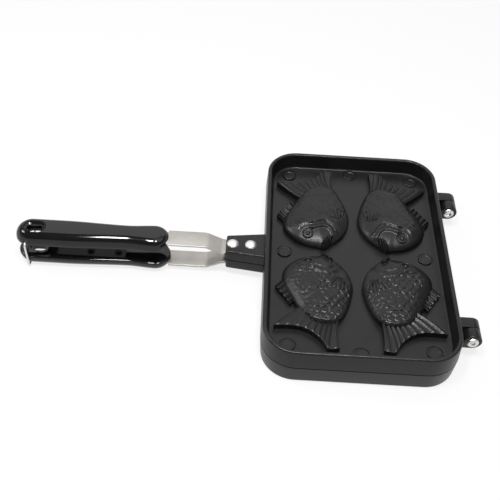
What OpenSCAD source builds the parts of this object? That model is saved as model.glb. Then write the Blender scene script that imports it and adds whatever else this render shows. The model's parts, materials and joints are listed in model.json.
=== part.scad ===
// A stovetop mould pan for fish-shaped filled cakes. Two cast pans close face to face on two
// riveted hinges, so the whole pan can be turned over a flame. Each pan has its own long handle,
// and a wire bail on the upper handle holds the lower one.
// The handle runs along -X, the hinges are at +X, and the pan stands on its lower rim at Z = 0,
// with the origin under the middle of the whole. Both pans are the same casting, mirrored in the
// parting face, so shapes are drawn once for a half whose parting face is at Z = 0, whose rim
// points up and whose middle is the middle of the pan.

/* [Pan] */
// Length of a pan along the handle, over the rim
pan_length = 156; // [152:1:180]
// Width of a pan across the handle, over the rim
pan_width = 234; // [226:1:260]
// Height of one pan, from parting face to rim
half_height = 18; // [17:0.5:24]
// Corner radius of the rim, in plan
pan_corner = 27.5; // [18:0.5:34]
// Thickness of the cast plate
plate = 3.5; // [3:0.25:4.5]
// Width of the flat land on top of the rim
rim_land = 3; // [2:0.25:4]
// Outward slope of the outer wall, from rim to parting face
outer_draft = 0.9; // [0.4:0.1:1.5]
// Inward slope of the inner wall, from rim to floor
inner_draft = 1.2; // [0.6:0.1:2]
// Chamfer where the inner wall meets the floor
floor_fillet = 1.5; // [0.5:0.25:2.5]
// Edge break on the rim
rim_edge = 0.6; // [0.3:0.1:1]
// Radius of the round ejector pads on the floor
pad_radius = 5.9; // [4:0.1:7]
// Height of the ejector pads
pad_height = 0.9; // [0.3:0.1:0.9]
// Distance of the side pads from the rim's edge
pad_side = 17; // [15:0.5:19]
// Distance of the end pads from the rim's edge
pad_end = 12.5; // [11:0.5:14]
// Distance of the corner pads from the rim's edge along the handle
pad_corner_length = 20.5; // [18:0.5:23]
// Distance of the corner pads from the rim's edge across the handle
pad_corner_width = 18; // [16:0.5:20]

/* [Fish moulds] */
// Length of a fish from mouth to tail tip
fish_length = 100.5; // [94:0.5:102]
// Width of the body from belly to back
fish_width = 57; // [52:0.5:58]
// Gap between the bellies of neighbouring fish
belly_gap = 8; // [7:0.5:12]
// Gap between the mouths of facing fish
mouth_gap = 7; // [6:0.5:12]
// Height of the body above the floor
body_height = 11; // [9:0.5:13]
// Height of the tail above the floor
tail_height = 5.6; // [4:0.2:7]
// Height of the back fin above the floor
fin_height = 4.5; // [3.5:0.25:6]
// Number of ribs in the tail
tail_ribs = 8; // [5:1:10]
// Number of ribs in the back fin
fin_ribs = 5; // [3:1:7]
// Radius of the ribs
rib_radius = 1.3; // [0.9:0.1:1.6]
// Wall of the casting over the moulds
mould_wall = 3; // [2.5:0.25:3.5]
// How far a mould's outline is drawn in from its fish
mould_inset = 1.8; // [1.5:0.1:2.2]
// Radius of the ring round the eye
eye_radius = 5.5; // [5:0.25:6.5]
// Radius of the hollow inside the ring
eye_hollow = 4.2; // [3.8:0.1:4.6]
// Depth of the hollow
eye_depth = 1.2; // [0.8:0.1:1.6]
// Radius of the eyeball
eye_ball = 3.2; // [2.6:0.1:3.6]
// Height of the ring's top above the floor
eye_rise = 9.6; // [9:0.2:11]

/* [Hinges] */
// Distance of a hinge's middle from the end of the pan
hinge_inset = 43.25; // [37:0.25:57]
// Distance of the pin from the rim
pin_reach = 12.5; // [11.5:0.25:16]
// Radius of the round ear about the pin
ear_radius = 7.5; // [6.5:0.25:8.5]
// Thickness of one ear
ear_thick = 9.7; // [7:0.1:12]
// Running gap between the two ears
ear_gap = 0.3; // [0.2:0.05:0.6]
// Radius of the hinge pin
pin_radius = 2.4; // [2:0.1:3]
// Radius of the pin's near head
pin_head_radius = 4.8; // [4.2:0.1:5.4]
// Height of the near head
pin_head_height = 1.8; // [1.4:0.1:2.5]
// Radius of the hollow in the near head
pin_hollow = 1.75; // [1.4:0.05:2]
// Radius of the pin's far head
pin_tail_radius = 4; // [3.4:0.1:4.6]
// Height of the far head
pin_tail_height = 1.4; // [1:0.1:2]

/* [Handle socket] */
// Length of the socket, from the rim
socket_length = 33.5; // [28:0.5:42]
// Width of the socket at its free end
socket_end_width = 19.6; // [18:0.2:24]
// Width of the socket at the pan
socket_root_width = 29; // [24:0.5:36]
// Height of one socket above the parting face
socket_height = 10.5; // [9:0.5:12]
// Slope of the socket's sides
socket_draft = 0.6; // [0.3:0.1:1]
// Height of the strap's middle above the parting face, in the socket
tang_height = 5.4; // [4.5:0.1:6]
// Distance of the first rivet from the socket's free end
rivet_inset = 5.7; // [5:0.1:8]
// Distance between the two rivets
rivet_pitch = 15.5; // [13:0.5:18]
// Radius of a rivet's shank
rivet_radius = 2.5; // [2:0.1:3]
// Radius of a rivet's domed head
rivet_head_radius = 5; // [4:0.1:5.5]
// Height of a rivet's domed head
rivet_head_height = 2.8; // [1.5:0.1:3.5]

/* [Strap] */
// Width of the strap
strap_width = 17; // [15:0.5:18]
// Thickness of the strap
strap_thick = 2; // [1.5:0.1:2.2]
// Width of the tangs that enter the socket and the handle
tang_width = 13.6; // [11:0.2:14]
// Height of the strap's middle above the parting face, at the handle
strap_height = 12.4; // [11.8:0.1:13]
// Run of the sloping part, between its two bends
slope_run = 14; // [11:0.5:20]
// Flat lip between the socket and the first bend
lip_run = 3; // [2:0.5:5]
// Length of the strap between the socket and the handle
strap_reach = 48.5; // [40:0.5:70]
// Length of the tang inside the handle
tang_length = 76; // [60:1:90]
// Length of each bend, from its corner
strap_bend = 3; // [2:0.25:4]
// Distance of the full width's end from the socket and inside the handle
strap_shoulder = 1.5; // [1:0.1:2]

/* [Handle] */
// Length of a handle
handle_length = 132; // [120:1:145]
// Width of a handle near its free end
handle_width = 27; // [25:0.5:28]
// Width of a handle at its waist
handle_waist = 24.6; // [22:0.2:26]
// Width of a handle at the strap end
handle_guard = 26.4; // [25:0.2:28]
// Distance of the waist from the strap end
waist_place = 36; // [30:1:50]
// Length of the free end whose width stays even
even_length = 43; // [36:1:50]
// Height of the handle's inner face above the parting face
handle_inner = 6.8; // [6:0.1:7.2]
// Height of the handle's outer face above the parting face
handle_outer = 17.8; // [17:0.1:17.9]
// Width of the outer edges' rounding
handle_round = 7; // [5:0.25:7.5]
// Height of the outer edges' rounding
handle_crown = 8.8; // [6:0.1:9]
// Rounding of the inner edges
handle_inner_round = 1.6; // [0.6:0.1:1.8]
// Length of the hanging hole
hang_length = 14.5; // [13:0.5:17]
// Width of the hanging hole
hang_width = 9; // [7:0.5:11]
// Distance of the hanging hole's middle from the free end
hang_place = 16.5; // [14:0.5:20]
// Width of the dished edge round the hanging hole
dish_width = 2; // [1:0.25:2.5]
// Depth of the dished edge
dish_depth = 1.4; // [0.8:0.1:2]
// Length of the recess in the inner face
recess_length = 61.5; // [56:0.5:66]
// Width of the recess
recess_width = 17; // [14:0.5:18]
// Corner radius of the recess
recess_corner = 3; // [2:0.25:4]
// Depth of the recess
recess_depth = 2.5; // [2:0.1:2.8]
// Distance of the recess from the strap end
recess_place = 38; // [32:0.5:42]

/* [Handle screws] */
// Radius of a screw's shank
screw_radius = 1.9; // [1.5:0.1:2.2]
// Radius of a screw's head
screw_head_radius = 3.4; // [2.8:0.1:4]
// Height of a screw's head
screw_head_height = 1.9; // [1.4:0.1:2.1]
// Distance of the first screw from the recess's strap end
screw_inset = 8; // [6:0.5:12]
// Distance between the two screws
screw_pitch = 24; // [18:0.5:26]
// How far a screw's tip stands out of the tang
screw_bite = 1.6; // [1:0.1:2]
// Length of each arm of the cross slot, through the middle
cross_length = 3.4; // [2.6:0.1:4]
// Width of the cross slot
cross_width = 0.8; // [0.6:0.1:1]
// Depth of the cross slot
cross_depth = 0.7; // [0.5:0.1:1]

/* [Wire bail] */
// Thickness of the wire
wire_thick = 1.8; // [1.4:0.1:2.2]
// Distance of the bail's pivot from the handle's free end
bail_place = 10; // [8:0.5:13]
// Height of the pivot above the upper handle's inner face
pivot_rise = 2.2; // [1.8:0.1:3]
// Height of the bail's cross bar above the ground
bar_clear = 0.4; // [0.3:0.1:0.8]
// Radius of the wire's corners
wire_bend = 2.5; // [2:0.1:3]
// Depth of the pivot holes, from the handle's full width
pivot_depth = 4; // [3:0.25:4.25]
// Depth of the upright groove at each pivot, from the handle's full width
notch_depth = 1; // [0.6:0.1:1.5]

/* [Fits] */
// Running gap between a pin and its bore
pin_gap = 0.05; // [0.02:0.01:0.1]
// Gap round a strap in its slot
slot_gap = 0.1; // [0.05:0.05:0.2]
// Gap between the bail and the handles
bail_gap = 0.4; // [0.3:0.05:0.6]

/* [Hidden] */
$fn = 48;

// A small overshoot, so that a cut runs clear through a face
eps = 0.5;
// Thickness of the thin slabs between which a form is stretched
slab = 0.01;
cast_black = "#3a393b";
bakelite_black = "#1b191b";
strap_steel = "#bdb8b4";
bright_steel = "#dcdcdc";
black_steel = "#2f2e30";

// Places along the handle axis, from the pan outwards
socket_end = -pan_length / 2 - socket_length;
first_bend = socket_end - lip_run;
second_bend = first_bend - slope_run;
handle_start = socket_end - strap_reach;
handle_end = handle_start - handle_length;
tang_end = handle_start - tang_length;
waist_x = handle_start - waist_place;
hang_x = handle_end + hang_place;
recess_start = handle_start - recess_place;
pin_x = pan_length / 2 + pin_reach;
rivet_xs = [socket_end + rivet_inset, socket_end + rivet_inset + rivet_pitch];
screw_xs = [recess_start - screw_inset, recess_start - screw_inset - screw_pitch];
floor_z = plate;
tang_reach = rivet_inset + rivet_pitch + 2 * rivet_radius;
screw_tip = strap_height + strap_thick / 2 + screw_bite;
hinge_y = pan_width / 2 - hinge_inset;

// Distance from the middle of the whole to the middle of the pan
pan_shift = -(handle_end + pin_x + ear_radius) / 2;

// The bail turns about its pivot in the upper handle, and its bar passes under the lower one
bail_x = handle_end + bail_place;
pivot_z = handle_inner + pivot_rise;
bar_z = -half_height + bar_clear + wire_thick / 2;
bail_radius = pivot_z - bar_z;
leg_y = handle_width / 2 + bail_gap + wire_thick / 2;
sweep_radius = bail_radius - wire_thick / 2 - bail_gap;

// A fish is drawn in shares of its width, from belly to back, and of its length, from mouth to tail
body_shares = [
    [0.45, 0.009], [0.402, 0], [0.35, 0.018], [0.274, 0.061], [0.147, 0.126], [0.063, 0.206],
    [0.01, 0.3], [0, 0.383], [0.026, 0.473], [0.079, 0.572], [0.156, 0.667], [0.263, 0.736],
    [0.42, 0.756], [0.596, 0.721], [0.728, 0.642], [0.816, 0.547], [0.912, 0.433], [0.982, 0.327],
    [1, 0.238], [0.952, 0.164], [0.856, 0.098], [0.733, 0.048], [0.592, 0.024], [0.512, 0.022]
];
tail_shares = [
    [0.228, 0.741], [0.228, 0.871], [0.233, 0.99], [0.377, 1], [0.447, 0.93], [0.537, 0.871],
    [0.632, 0.829], [0.746, 0.803], [0.86, 0.793], [0.982, 0.793], [1.14, 0.803],
    [0.982, 0.711], [0.86, 0.662], [0.754, 0.622], [0.56, 0.58], [0.316, 0.662]
];
fin_shares = [
    [0.807, 0.552], [0.895, 0.554], [0.993, 0.478], [1.114, 0.378], [1.07, 0.323],
    [1, 0.279], [0.877, 0.323], [0.807, 0.463]
];
crest_shares = [[0.51, 0.224], [0.474, 0.562]];
eye_share = [0.645, 0.125];
tail_root_share = [0.228, 0.378];
fin_root_share = [0.561, 0.164];
tail_fan = [39, 90];
fin_fan = [36, 62];
// Fullness of the dome: 2 is a round section, and more is squarer
dome_fullness = 2.3;
outer_steps = [0, 16, 32, 48, 64, 80];
mould_steps = [0, 20, 40, 60, 80];
outline_steps = 2;

function on_pan(s) = [belly_gap / 2 + s[0] * fish_width, mouth_gap / 2 + s[1] * fish_length];
function fish_points(shares) = [for (s = shares) on_pan(s)];

// A smooth closed curve through the points, with n steps between one and the next
function spline_at(a, b, c, d, t) = 0.5 * (2 * b + (c - a) * t + (2 * a - 5 * b + 4 * c - d) * t * t
    + (3 * b - a - 3 * c + d) * t * t * t);
function smooth_loop(p, n) = [
    for (i = [0:len(p) - 1], j = [0:n - 1])
        spline_at(p[(i + len(p) - 1) % len(p)], p[i], p[(i + 1) % len(p)], p[(i + 2) % len(p)], j / n)
];

// The point on the crest, a short line along the middle of the body, that is nearest to p
function nearest_crest(p, a, b) =
    let (t = ((p - a) * (b - a)) / ((b - a) * (b - a)))
    a + min(1, max(0, t)) * (b - a);

// A ring of the dome: each outline point drawn in towards the crest, at one height
function dome_ring(outline, inset, share, z) = [
    for (p = outline)
        let (
            c = nearest_crest(p, on_pan(crest_shares[0]), on_pan(crest_shares[1])),
            d = p - c,
            q = c + d * (share * (1 - inset / norm(d)))
        )
        [q[0], q[1], z]
];

// A domed body over the outline, from a foot below base to base + height
module dome(base, height, foot, inset, steps) {
    outline = smooth_loop(fish_points(body_shares), outline_steps);
    n = len(outline);
    power = 2 / dome_fullness;
    rings = concat(
        [dome_ring(outline, inset, 1, foot)],
        [for (a = steps) dome_ring(outline, inset, pow(cos(a), power), base + height * pow(sin(a), power))]
    );
    k = len(rings);
    polyhedron(
        points = [for (r = rings, p = r) p],
        faces = concat(
            [for (i = [0:k - 2], j = [0:n - 1]) [i * n + j, i * n + (j + 1) % n, (i + 1) * n + j]],
            [for (i = [0:k - 2], j = [0:n - 1])
                [i * n + (j + 1) % n, (i + 1) * n + (j + 1) % n, (i + 1) * n + j]],
            [[for (j = [n - 1:-1:0]) j]],
            [[for (j = [0:n - 1]) (k - 1) * n + j]]
        )
    );
}

// Ribs that fan out from a root point, clipped to a fin's outline
module ribbed_fin(shares, root_share, fan, count, height) {
    root = on_pan(root_share);
    translate([0, 0, floor_z - eps])
        linear_extrude(height + eps)
            polygon(fish_points(shares));
    intersection() {
        translate([0, 0, floor_z])
            linear_extrude(height + rib_radius)
                polygon(fish_points(shares));
        union() {
            for (i = [0:count - 1])
                translate([root[0], root[1], floor_z + height - rib_radius / 2])
                    rotate([0, 0, fan[0] + (fan[1] - fan[0]) * (i + 0.5) / count])
                        rotate([0, 90, 0])
                            cylinder(r = rib_radius, h = fish_length, $fn = 8);
        }
    }
}

// The outside of one fish, as it stands on the floor of the pan
module fish_relief() {
    eye = on_pan(eye_share);
    eye_top = floor_z + eye_rise;
    dome(floor_z, body_height, floor_z - eps, 0, outer_steps);
    ribbed_fin(tail_shares, tail_root_share, tail_fan, tail_ribs, tail_height);
    ribbed_fin(fin_shares, fin_root_share, fin_fan, fin_ribs, fin_height);
    translate([eye[0], eye[1], eye_top - body_height / 2])
        difference() {
            cylinder(r = eye_radius, h = body_height / 2);
            translate([0, 0, body_height / 2 - eye_depth])
                cylinder(r = eye_hollow, h = body_height);
        }
    translate([eye[0], eye[1], eye_top - eye_ball])
        sphere(r = eye_ball);
}

// The hollow of one fish, as it is cut into the parting face
module fish_mould() {
    dome(0, plate + body_height - mould_wall, -eps, mould_inset, mould_steps);
    translate([0, 0, -eps])
        linear_extrude(plate + tail_height - mould_wall + eps)
            offset(delta = -mould_inset)
                polygon(fish_points(tail_shares));
    translate([0, 0, -eps])
        linear_extrude(plate + fin_height - mould_wall + eps)
            offset(delta = -mould_inset)
                polygon(fish_points(fin_shares));
}

// Places its children in the four quarters of the pan, bellies and mouths towards the middle
module four_ways() {
    for (mx = [0, 1], my = [0, 1])
        mirror([mx, 0, 0])
            mirror([0, my, 0])
                children();
}

// A thin rounded slab of the pan's outline, grown by g all round, at height z
module pan_slab(g, z) {
    r = pan_corner + g;
    translate([0, 0, z])
        linear_extrude(slab)
            union() {
                square([pan_length + 2 * g, pan_width + 2 * g - 2 * r], center = true);
                square([pan_length + 2 * g - 2 * r, pan_width + 2 * g], center = true);
                for (sx = [-1, 1], sy = [-1, 1])
                    translate([sx * (pan_length / 2 + g - r), sy * (pan_width / 2 + g - r)])
                        circle(r = r);
            }
}

// The outside of a pan: a shallow drafted box with a broken rim edge
module pan_outside() {
    hull() {
        pan_slab(outer_draft, 0);
        pan_slab(rim_edge * outer_draft / half_height, half_height - rim_edge);
        pan_slab(-rim_edge, half_height - slab);
    }
}

// The tray inside the rim, down to the floor
module pan_tray() {
    wall = rim_edge + rim_land;
    hull() {
        pan_slab(-wall - inner_draft - floor_fillet, floor_z);
        pan_slab(-wall - inner_draft, floor_z + floor_fillet);
        pan_slab(-wall, half_height + eps);
    }
}

// Round pads left by the ejector pins: on the middle line, at the ends and in the corners
module ejector_pads() {
    side_x = pan_length / 2 - pad_side;
    end_y = pan_width / 2 - pad_end;
    corner = [pan_length / 2 - pad_corner_length, pan_width / 2 - pad_corner_width];
    for (p = [
        [side_x, 0], [-side_x, 0], [0, end_y], [0, -end_y],
        corner, -corner, [corner[0], -corner[1]], [-corner[0], corner[1]]
    ])
        translate([p[0], p[1], floor_z - eps])
            cylinder(r = pad_radius, h = pad_height + eps);
}

// An ear of the hinge, from the outer wall to round the pin, on the side of its own pan
module hinge_ear(y) {
    root = pan_length / 2 - rim_land / 2;
    translate([0, y + ear_thick, 0])
        rotate([90, 0, 0])
            linear_extrude(ear_thick)
                union() {
                    translate([pin_x, 0])
                        circle(r = ear_radius);
                    translate([root, 0])
                        square([pin_x - root, ear_radius]);
                }
}

module pin_bore() {
    translate([pin_x, 0, 0])
        rotate([90, 0, 0])
            cylinder(r = pin_radius + pin_gap, h = pan_width + eps, center = true);
}

// The tapered socket that carries the strap
module socket() {
    root = -pan_length / 2 + rim_land / 2;
    function taper(inset) = [
        [socket_end, -socket_end_width / 2 + inset], [root, -socket_root_width / 2 + inset],
        [root, socket_root_width / 2 - inset], [socket_end, socket_end_width / 2 - inset]
    ];
    hull() {
        linear_extrude(slab)
            polygon(taper(0));
        translate([0, 0, socket_height - rim_edge])
            linear_extrude(slab)
                polygon(taper(socket_draft));
        translate([rim_edge, 0, socket_height - slab])
            linear_extrude(slab)
                polygon(taper(socket_draft + rim_edge));
    }
}

// One pan. The ear lies on the far side of each hinge on the upper pan, and on the near side of
// each hinge on the lower pan, so that the two sit side by side on one pin.
module pan(ear_side) {
    difference() {
        union() {
            difference() {
                pan_outside();
                pan_tray();
            }
            four_ways()
                fish_relief();
            ejector_pads();
            for (y = [-hinge_y, hinge_y])
                hinge_ear(y + (ear_side > 0 ? ear_gap / 2 : -ear_gap / 2 - ear_thick));
            socket();
        }
        four_ways()
            fish_mould();
        pin_bore();
        strap(slot_gap);
        for (x = rivet_xs)
            translate([x, 0, -eps])
                cylinder(r = rivet_radius + pin_gap, h = half_height);
    }
}

// The strap's middle line, seen from the near side
strap_line = [
    [socket_end + tang_reach, tang_height],
    [first_bend, tang_height],
    [second_bend, strap_height],
    [tang_end, strap_height]
];

// A corner of the line, replaced by a short arc of two chords
function eased(a, b, c, r) =
    let (u = (a - b) / norm(a - b), v = (c - b) / norm(c - b))
    [b + u * r, b + (u + v) * r / 4, b + v * r];
eased_line = concat(
    [strap_line[0]],
    eased(strap_line[0], strap_line[1], strap_line[2], strap_bend),
    eased(strap_line[1], strap_line[2], strap_line[3], strap_bend),
    [strap_line[3]]
);

// The side of a band of half thickness h along a line, offset square to the line at each point
function band_side(line, h) = [
    for (i = [0:len(line) - 1])
        let (
            a = line[max(0, i - 1)],
            b = line[min(len(line) - 1, i + 1)],
            d = (b - a) / norm(b - a)
        )
        line[i] + h * [-d[1], d[0]]
];
function reversed(p) = [for (i = [len(p) - 1:-1:0]) p[i]];

// The bent strap: full width in the open, and narrower tangs in the socket and the handle.
// With a gap, it is the slot that the strap sits in.
module strap(gap) {
    h = strap_thick / 2 + gap;
    wide_start = socket_end - strap_shoulder / 2 - gap;
    wide_end = handle_start - strap_shoulder - gap;
    narrow = tang_width / 2 + gap;
    wide = strap_width / 2 + gap;
    intersection() {
        translate([0, wide, 0])
            rotate([90, 0, 0])
                linear_extrude(2 * wide)
                    polygon(concat(band_side(eased_line, h), reversed(band_side(eased_line, -h))));
        linear_extrude(half_height)
            polygon([
                [socket_end + tang_reach + gap, -narrow], [wide_start, -narrow],
                [wide_start, -wide], [wide_end, -wide], [wide_end, -narrow],
                [tang_end - gap, -narrow], [tang_end - gap, narrow], [wide_end, narrow],
                [wide_end, wide], [wide_start, wide], [wide_start, narrow],
                [socket_end + tang_reach + gap, narrow]
            ]);
    }
}

// The steel strap with its rivet and screw holes
module bare_strap() {
    difference() {
        strap(0);
        for (x = rivet_xs)
            translate([x, 0, 0])
                cylinder(r = rivet_radius + pin_gap, h = half_height);
        for (x = screw_xs)
            translate([x, 0, 0])
                cylinder(r = screw_radius + pin_gap, h = half_height);
    }
}

// A round disc of the handle's section, with a small inner and a large outer edge rounding
module handle_puck(x, width) {
    r = width / 2;
    translate([x, 0, 0])
        rotate_extrude($fn = 28)
            polygon(concat(
                [[0, handle_inner]],
                [for (a = [-90:45:0])
                    [
                        r - handle_inner_round * (1 - cos(a)),
                        handle_inner + handle_inner_round * (1 + sin(a))
                    ]],
                [for (a = [0:22.5:90])
                    [r - handle_round * (1 - cos(a)), handle_outer - handle_crown * (1 - sin(a))]],
                [[0, handle_outer]]
            ));
}

// The handle's outside: two tapering lengths that meet at the waist
module handle_body() {
    hull() {
        handle_puck(handle_end + handle_width / 2, handle_width);
        handle_puck(handle_end + even_length, handle_width);
        handle_puck(waist_x, handle_waist);
    }
    hull() {
        handle_puck(waist_x, handle_waist);
        handle_puck(handle_start - handle_guard / 2, handle_guard);
    }
}

// A slot-shaped prism along X
module slot_prism(length, width, height) {
    linear_extrude(height)
        union() {
            square([length - width, width], center = true);
            for (s = [-1, 1])
                translate([s * (length - width) / 2, 0])
                    circle(r = width / 2);
        }
}

// The hanging hole with its dished outer edge
module hang_hole() {
    translate([hang_x, 0, 0]) {
        slot_prism(hang_length, hang_width, half_height + eps);
        hull() {
            translate([0, 0, handle_outer - dish_depth])
                slot_prism(hang_length, hang_width, slab);
            translate([0, 0, handle_outer])
                slot_prism(hang_length + 2 * dish_width, hang_width + 2 * dish_width, slab);
        }
    }
}

// The recess in the inner face, where the screws go in
module screw_recess() {
    translate([recess_start - recess_length / 2, 0, handle_inner - eps])
        linear_extrude(recess_depth + eps)
            union() {
                square([recess_length, recess_width - 2 * recess_corner], center = true);
                square([recess_length - 2 * recess_corner, recess_width], center = true);
                for (sx = [-1, 1], sy = [-1, 1])
                    translate([
                        sx * (recess_length / 2 - recess_corner),
                        sy * (recess_width / 2 - recess_corner)
                    ])
                        circle(r = recess_corner);
            }
}

module handle_blank() {
    difference() {
        handle_body();
        hang_hole();
        screw_recess();
        strap(slot_gap);
        for (x = screw_xs)
            translate([x, 0, handle_inner])
                cylinder(r = screw_radius + pin_gap, h = screw_tip + pin_gap - handle_inner);
    }
}

// The upper handle has the bail's two pivot holes, each at the foot of a short upright groove
module bail_seat_upper() {
    for (s = [-1, 1])
        mirror([0, (1 - s) / 2, 0]) {
            translate([bail_x, handle_width / 2 - pivot_depth, pivot_z])
                rotate([-90, 0, 0])
                    cylinder(r = wire_thick / 2 + pin_gap, h = pivot_depth + eps);
            translate([bail_x - wire_thick, handle_width / 2 - notch_depth, handle_inner - eps])
                cube([2 * wire_thick, notch_depth + eps, handle_outer - handle_inner + 2 * eps]);
        }
}

// The lower handle is cut back under its free end to let the bail's bar swing past. This is drawn
// with the parting face at Z = 0 and the lower handle already below it.
module bail_seat_lower() {
    seat = bail_x + wire_thick / 2 + bail_gap;
    difference() {
        translate([handle_end - eps, -handle_width, -half_height - eps])
            cube([seat - handle_end + eps, 2 * handle_width, half_height + eps]);
        translate([bail_x, 0, pivot_z])
            rotate([90, 0, 0])
                cylinder(r = sweep_radius, h = 2 * handle_width + 2 * eps, center = true);
    }
}

// Sets shapes that are drawn about the middle of the parting face in the frame of the whole
module set_down() {
    translate([pan_shift, 0, half_height])
        children();
}

module upper_half() {
    set_down()
        children();
}

module lower_half() {
    set_down()
        mirror([0, 0, 1])
            children();
}

module lower_pan() {
    color(cast_black)
        lower_half()
            pan(-1);
}

module upper_pan() {
    color(cast_black)
        upper_half()
            pan(1);
}

module lower_strap() {
    color(strap_steel)
        lower_half()
            bare_strap();
}

module upper_strap() {
    color(strap_steel)
        upper_half()
            bare_strap();
}

module lower_handle() {
    color(bakelite_black)
        difference() {
            lower_half()
                handle_blank();
            set_down()
                bail_seat_lower();
        }
}

module upper_handle() {
    color(bakelite_black)
        upper_half()
            difference() {
                handle_blank();
                bail_seat_upper();
            }
}

// A spherical cap of the given foot radius and height
module domed_head(r, h) {
    ball = (r * r + h * h) / (2 * h);
    intersection() {
        translate([0, 0, h - ball])
            sphere(r = ball);
        cylinder(r = r, h = h + eps);
    }
}

// A solid rivet through socket and strap, flush with the parting face
module rivet(i) {
    color(bright_steel)
        translate([rivet_xs[i], 0, pin_gap]) {
            cylinder(r = rivet_radius, h = socket_height - pin_gap);
            translate([0, 0, socket_height - pin_gap])
                domed_head(rivet_head_radius, rivet_head_height);
        }
}

// A pan-head screw from the recess into the tang
module screw(i) {
    seat = handle_inner + recess_depth;
    color(black_steel)
        translate([screw_xs[i], 0, 0]) {
            translate([0, 0, seat])
                cylinder(r = screw_radius, h = screw_tip - seat);
            difference() {
                translate([0, 0, seat])
                    mirror([0, 0, 1])
                        domed_head(screw_head_radius, screw_head_height);
                translate([0, 0, seat - screw_head_height])
                    for (a = [0, 90])
                        rotate([0, 0, a])
                            cube([cross_length, cross_width, 2 * cross_depth], center = true);
            }
        }
}

// A semi-tubular hinge rivet: a domed head with a hollow end, and a rolled head at the far side
module hinge_pin(side) {
    y = side * hinge_y;
    stack = 2 * ear_thick + ear_gap;
    color(bright_steel)
        set_down()
            translate([pin_x, y - stack / 2, 0])
                rotate([-90, 0, 0])
                    difference() {
                        union() {
                            cylinder(r = pin_radius, h = stack);
                            mirror([0, 0, 1])
                                domed_head(pin_head_radius, pin_head_height);
                            translate([0, 0, stack])
                                domed_head(pin_tail_radius, pin_tail_height);
                        }
                        translate([0, 0, -pin_head_height - eps])
                            cylinder(r = pin_hollow, h = pin_head_height + eps);
                    }
}

module lower_rivet_outer() { lower_half() rivet(0); }
module lower_rivet_inner() { lower_half() rivet(1); }
module upper_rivet_outer() { upper_half() rivet(0); }
module upper_rivet_inner() { upper_half() rivet(1); }
module lower_screw_front() { lower_half() screw(0); }
module lower_screw_rear() { lower_half() screw(1); }
module upper_screw_front() { upper_half() screw(0); }
module upper_screw_rear() { upper_half() screw(1); }
module hinge_pin_near() { hinge_pin(-1); }
module hinge_pin_far() { hinge_pin(1); }

// A straight run of wire from the origin along +Z
module wire_run(length) {
    cylinder(r = wire_thick / 2, h = length);
}

// A quarter turn of wire in the XZ plane, from the origin along +Z and over to +X
module wire_corner() {
    translate([wire_bend, 0, 0])
        rotate([90, 0, 0])
            rotate_extrude(angle = 90, start = 90)
                translate([wire_bend, 0])
                    circle(r = wire_thick / 2, $fn = 24);
}

// The bail, with its bar under the lower handle and its two bent ends in the upper handle
module latch_wire() {
    stub_end = handle_width / 2 - pivot_depth + bail_gap;
    color(bright_steel)
        set_down()
            for (s = [0, 1])
                mirror([0, s, 0])
                    translate([bail_x, -leg_y, 0]) {
                        translate([0, 0, bar_z + wire_bend])
                            wire_run(bail_radius - 2 * wire_bend);
                        translate([0, 0, pivot_z - wire_bend])
                            rotate([0, 0, 90])
                                wire_corner();
                        translate([0, wire_bend, pivot_z])
                            rotate([-90, 0, 0])
                                wire_run(leg_y - wire_bend - stub_end);
                        translate([0, 0, bar_z + wire_bend])
                            mirror([0, 0, 1])
                                rotate([0, 0, 90])
                                    wire_corner();
                        translate([0, wire_bend, bar_z])
                            rotate([-90, 0, 0])
                                wire_run(leg_y - wire_bend);
                    }
}

lower_pan();
upper_pan();
lower_strap();
upper_strap();
lower_handle();
upper_handle();
lower_rivet_outer();
lower_rivet_inner();
upper_rivet_outer();
upper_rivet_inner();
lower_screw_front();
lower_screw_rear();
upper_screw_front();
upper_screw_rear();
hinge_pin_near();
hinge_pin_far();
latch_wire();
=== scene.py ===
import json
import math

import bmesh
import bpy
from mathutils import Matrix, Vector


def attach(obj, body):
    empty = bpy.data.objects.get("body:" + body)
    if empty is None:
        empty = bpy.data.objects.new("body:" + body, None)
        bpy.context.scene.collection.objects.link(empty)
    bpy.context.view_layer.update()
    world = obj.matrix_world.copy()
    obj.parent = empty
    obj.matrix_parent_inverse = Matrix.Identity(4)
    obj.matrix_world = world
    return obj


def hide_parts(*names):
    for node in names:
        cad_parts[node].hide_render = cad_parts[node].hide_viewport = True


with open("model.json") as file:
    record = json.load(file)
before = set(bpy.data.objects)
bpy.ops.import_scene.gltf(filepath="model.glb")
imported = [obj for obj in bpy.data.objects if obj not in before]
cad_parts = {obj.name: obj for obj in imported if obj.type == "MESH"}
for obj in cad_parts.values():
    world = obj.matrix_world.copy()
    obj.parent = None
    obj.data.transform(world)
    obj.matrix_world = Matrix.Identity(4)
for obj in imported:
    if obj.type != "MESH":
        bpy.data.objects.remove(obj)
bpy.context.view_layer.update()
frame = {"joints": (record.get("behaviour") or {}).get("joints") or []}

# Cast pans
# Two die-cast aluminium halves with a baked non-stick coating, each a shallow tray with four hollow
# fish. They turn on two hinge pins and close on their flat parting faces.
MM = 0.001
# Shapes are drawn in millimetres for one half, with the parting face at zero and the rim up. The
# lower half is the mirror image.
half_height = 18.0
pan_length = 156.0
pan_width = 234.0
pan_corner = 27.5
outer_draft = 0.9
inner_draft = 1.2
plate = 3.5
rim_land = 0.6
rim_round = 1.6
rim_inner_round = 1.5
foot_round = 1.8
seam_height = 0.45
seam_depth = 0.6
pin_reach = 12.5
lid = [joint for joint in frame["joints"] if joint["name"] == "lid"][0]
pan_middle = Vector(lid["pos_m"]) - Vector(((pan_length / 2 + pin_reach) * MM, 0, 0))


def linear(colour):
    """An sRGB hex colour as linear red, green, blue and alpha."""
    parts = [int(colour[i:i + 2], 16) / 255 for i in (1, 3, 5)]
    return [p / 12.92 if p <= 0.04045 else ((p + 0.055) / 1.055) ** 2.4 for p in parts] + [1.0]


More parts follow.
